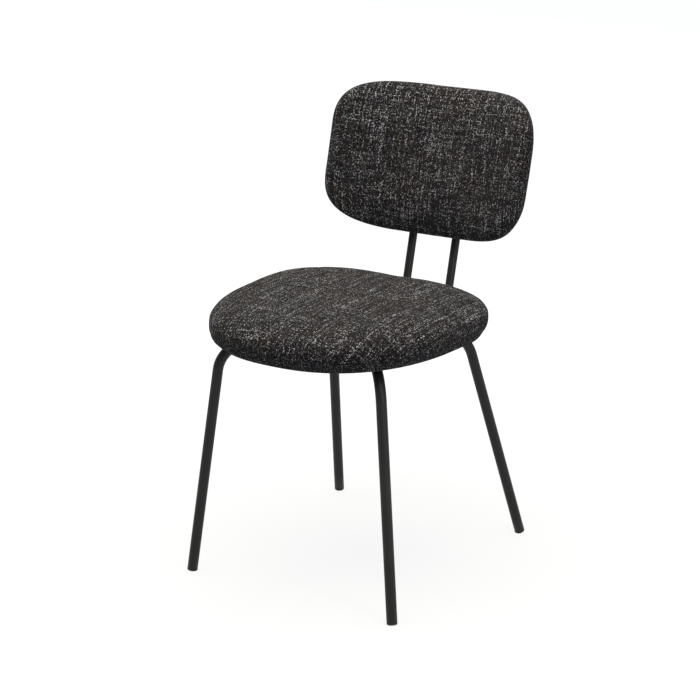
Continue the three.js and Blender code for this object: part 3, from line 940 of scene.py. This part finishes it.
# back cushion, in the pad's own frame: X across, Y up the pad, Z out of its front face

back = {
    "halfWide": 0.2023,
    "halfTall": 0.1354,
    "depth": 0.034,
    "corner": 4.1,
    "edge": 2.7,
    "sweep": 1.3,
    "half": 24,
    "seam": 0.855,               # where the rear panel is sewn in
    "seamDepth": 0.0016,
    "crown": 0.0006,
    "pucker": 0.0022,            # how far the cloth is drawn in round each post
    "puckerReach": 0.013,
    "cloth": {"pressure": 4.0, "shrink": 0.0, "bending": 0.6, "frames": 16, "reach": 0.0020},
}

lean = tubing["postLean"]
padMiddle = fromHub(0, 0.270, 0.660)
padAxes = np.array([(1, 0, 0), (0, math.sin(lean), math.cos(lean)), (0, -math.cos(lean), math.sin(lean))])


def padOutline(turn, ratio):
    size = float(superRadius(turn, back["corner"])) * ratio
    return (back["halfWide"] * math.cos(turn) * size, back["halfTall"] * math.sin(turn) * size)


def padToChair(points):
    return np.asarray(points) @ padAxes + np.array(padMiddle)


def rearLevel(ratio):
    # depth of the rear face at this share of the outline, before the panel is sewn in
    return float(np.interp(ratio, front[:, 0], -front[:, 1]))


depth = back["depth"]
backTable = profileTable((depth, back["edge"], 0), (depth, back["edge"], 0))
front = spaced(backTable[:200], back["halfTall"], [(0.83, 20), (1.0, 8)])
rearHalf = [(ratio, -level) for ratio, level in front[::-1][1:7]]
seamAt, seamDepth = back["seam"], back["seamDepth"]
seamRings = [(seamAt + 0.030, 0.0002), (seamAt + 0.018, 0.0006), (seamAt + 0.009, 0.0002),
             (seamAt + 0.003, -seamDepth), (seamAt - 0.003, -seamDepth), (seamAt - 0.009, 0.0002),
             (seamAt - 0.018, 0.0006), (seamAt - 0.032, 0.0002)]
rearHalf = [station for station in rearHalf if station[0] > seamAt + 0.04]
rearHalf += [(ratio, rearLevel(ratio) - swell) for ratio, swell in seamRings]
left = 2 * back["half"] + 1 + 8 - len(front) - len(rearHalf)
last = seamAt - 0.032
for k in range(left):
    ratio = last * (1 - (k + 1) / left)
    rearHalf.append((ratio, rearLevel(ratio)))
backStations = np.array([*map(tuple, front), *rearHalf])
turns, layers, faces = ringMesh(back["half"], len(backStations))
ratios, levels = backStations[layers, 0], backStations[layers, 1]
plan = np.array([padOutline(turn, ratio) for turn, ratio in zip(turns, ratios)])
local = np.concatenate([plan, (levels + back["sweep"] * plan[:, 0] ** 2)[:, None]], 1)
points = padToChair(local)

backCushion = meshPiece("backCushion", points, faces, "tweed")
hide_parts("back_cover", "back_front_foam", "back_rear_foam")
seamRing = len(front) + len(rearHalf) - left - 5
pinned = np.clip(1 - np.abs(layers - seamRing) / 4, 0, 1)
points = settle(backCushion, points, pinned, back["cloth"])
setPoints(backCushion, points)
normals = surfaceNormals(backCushion)
free = (1 - pinned)[:, None]
points = points + normals * free * (unevenness(points, 0.10, back["crown"] * 1.6, 5.0)
                                    + unevenness(points, 0.032, back["crown"] * 0.7, 1.0))
local = (points - np.array(padMiddle)) @ padAxes.T
# cloth drawn in where each post goes through the bottom edge
postDepth = ((np.array(fromHub(0, tubing["postKneeY"], tubing["legHeight"] + 0.0015)) - np.array(padMiddle))
             @ padAxes.T)[2]
for sign in (-1, 1):
    aside = local[:, 0] - sign * tubing["postSpacing"] / 2
    ahead = local[:, 2] - postDepth
    pull = np.exp(-(np.hypot(aside, ahead) / back["puckerReach"]) ** 2) * (local[:, 1] < -0.09)
    folds = 1 + 0.25 * np.sin(np.arctan2(ahead, aside) * 7)
    local[:, 1] += pull * back["pucker"] * folds
setPoints(backCushion, padToChair(local))
weaveMap(backCushion, wrapped(turns, layers, backStations, padOutline, np.zeros(2),
                              (back["corner"], back["corner"])) + (0.7, 0.3), layers >= seamRing, plan)
smoothFinish(backCushion)


# stitches that close the rear panel

stitch = {"length": 0.0042, "gap": 0.0013, "radius": 0.00034, "sink": 0.0003}

groove = rearLevel(seamAt) + seamDepth - stitch["sink"]
path = []
for i in range(2880):
    x, y = padOutline(2 * math.pi * i / 2880, seamAt)
    path.append(Vector(padToChair([(x, y, groove + back["sweep"] * x * x)])[0]))
runs, current, walked = [], [], 0.0
for a, b in zip(path, path[1:] + path[:1]):
    walked += (b - a).length
    place = walked % (stitch["length"] + stitch["gap"])
    if place < stitch["length"]:
        current.append(a)
    elif current:
        if len(current) > 3:
            runs.append(current)
        current = []
roundWire("backSeamStitches", runs, stitch["radius"], "tweed", 6, "thread")
print("back cushion made", len(runs), "stitches")


# camera, floor and light

view = {
    "azimuth": math.radians(32.7),
    "elevation": math.radians(17.6),
    "distance": 3.4622,
    "lens": 102.86,
    "aim": (-0.0248, -0.0090, 0.3708),
}
light = {
    "top": {"at": (-0.05, -0.2, 2.6), "wide": 2.5, "tall": 2.5, "power": 128,
            "colour": (1.0, 0.94, 0.82)},
    "right": {"at": (2.4, -0.9, 1.3), "wide": 0.7, "tall": 2.0, "power": 24,
              "colour": (0.96, 0.97, 1.0)},
    "towards": (0, 0, 0.4),
    "sky": 0.32,
    "skyColour": (0.93, 0.965, 1.0),
    "skySeen": 1.06,
}
studioFloor = {
    "wide": 12.0,
    "cells": 28,
    "glow": (0.886, 1.0),      # near the chair and far from it
    "shade": 0.078,            # how much of a shadow shows
}

aim = Vector(((cadBox[0][0] + cadBox[1][0]) / 2 + view["aim"][0],
              (cadBox[0][1] + cadBox[1][1]) / 2 + view["aim"][1], cadBox[0][2] + view["aim"][2]))
flatReach = math.cos(view["elevation"])
direction = Vector((math.sin(view["azimuth"]) * flatReach, -math.cos(view["azimuth"]) * flatReach,
                    math.sin(view["elevation"])))
cameraData = bpy.data.cameras.new("frontThreeQuarter")
cameraData.lens = view["lens"]
cameraData.sensor_width = 36
camera = bpy.data.objects.new("frontThreeQuarter", cameraData)
scene.collection.objects.link(camera)
camera.location = aim + direction * view["distance"]
camera.rotation_euler = (-direction).to_track_quat("-Z", "Y").to_euler()
scene.camera = camera

for name, lamp in (("topLight", light["top"]), ("rightLight", light["right"])):
    data = bpy.data.lights.new(name, "AREA")
    data.shape = "RECTANGLE"
    data.size, data.size_y, data.energy = lamp["wide"], lamp["tall"], lamp["power"]
    data.color = lamp["colour"]
    lampObject = bpy.data.objects.new(name, data)
    scene.collection.objects.link(lampObject)
    lampObject.location = lamp["at"]
    away = Vector(lamp["at"]) - Vector(light["towards"])
    lampObject.rotation_euler = away.to_track_quat("Z", "Y").to_euler()
    lampObject.visible_camera = False

# the sky lights the chair softly, and looks white where it is seen directly
world = bpy.data.worlds.new("studio")
world.use_nodes = True
scene.world = world
sky = world.node_tree.nodes["Background"]
sky.inputs["Color"].default_value = (*light["skyColour"], 1)
seen = Wire(world.node_tree).node("ShaderNodeLightPath")
strength = light["sky"] + seen * (light["skySeen"] - light["sky"])
world.node_tree.links.new(strength.socket, sky.inputs["Strength"])

cells = studioFloor["cells"]
line = [studioFloor["wide"] * (i / cells - 0.5) for i in range(cells + 1)]
points = [(x, y, -0.0002) for x in line for y in line]
faces = []
for i in range(cells):
    for j in range(cells):
        a = i * (cells + 1) + j
        faces.append((a, a + cells + 1, a + cells + 2, a + 1))
floorMesh = bpy.data.meshes.new("studioFloor")
floorMesh.from_pydata(points, [], faces)
floor = bpy.data.objects.new("studioFloor", floorMesh)
scene.collection.objects.link(floor)


def floorLook(wire):
    cloud = wire.grain(objectPlace(wire), 2.0, 2.0)
    shade = cloud.ramp([(0.3, (studioFloor["shade"],) * 3), (0.7, (studioFloor["shade"] + 0.01,) * 3)])
    away = wire.node("ShaderNodeVectorMath", {"operation": "LENGTH"}, {0: objectPlace(wire)}, 1)
    near, far = studioFloor["glow"]
    glow = away.ramp([(0.0, (near,) * 3), (0.35, (near,) * 3), (0.95, (far,) * 3)])
    return {"Base Color": shade, "Emission Color": glow}


floorMesh.materials.append(makeMaterial("studioFloor", {
    "Roughness": 0.9, "Specular IOR Level": 0.0, "Emission Strength": 1.0}, floorLook))
floor.visible_diffuse = False

scene.view_settings.view_transform = "Standard"
scene.view_settings.look = "None"
scene.view_settings.exposure = 0
scene.view_settings.gamma = 1
print("camera, floor and light made")
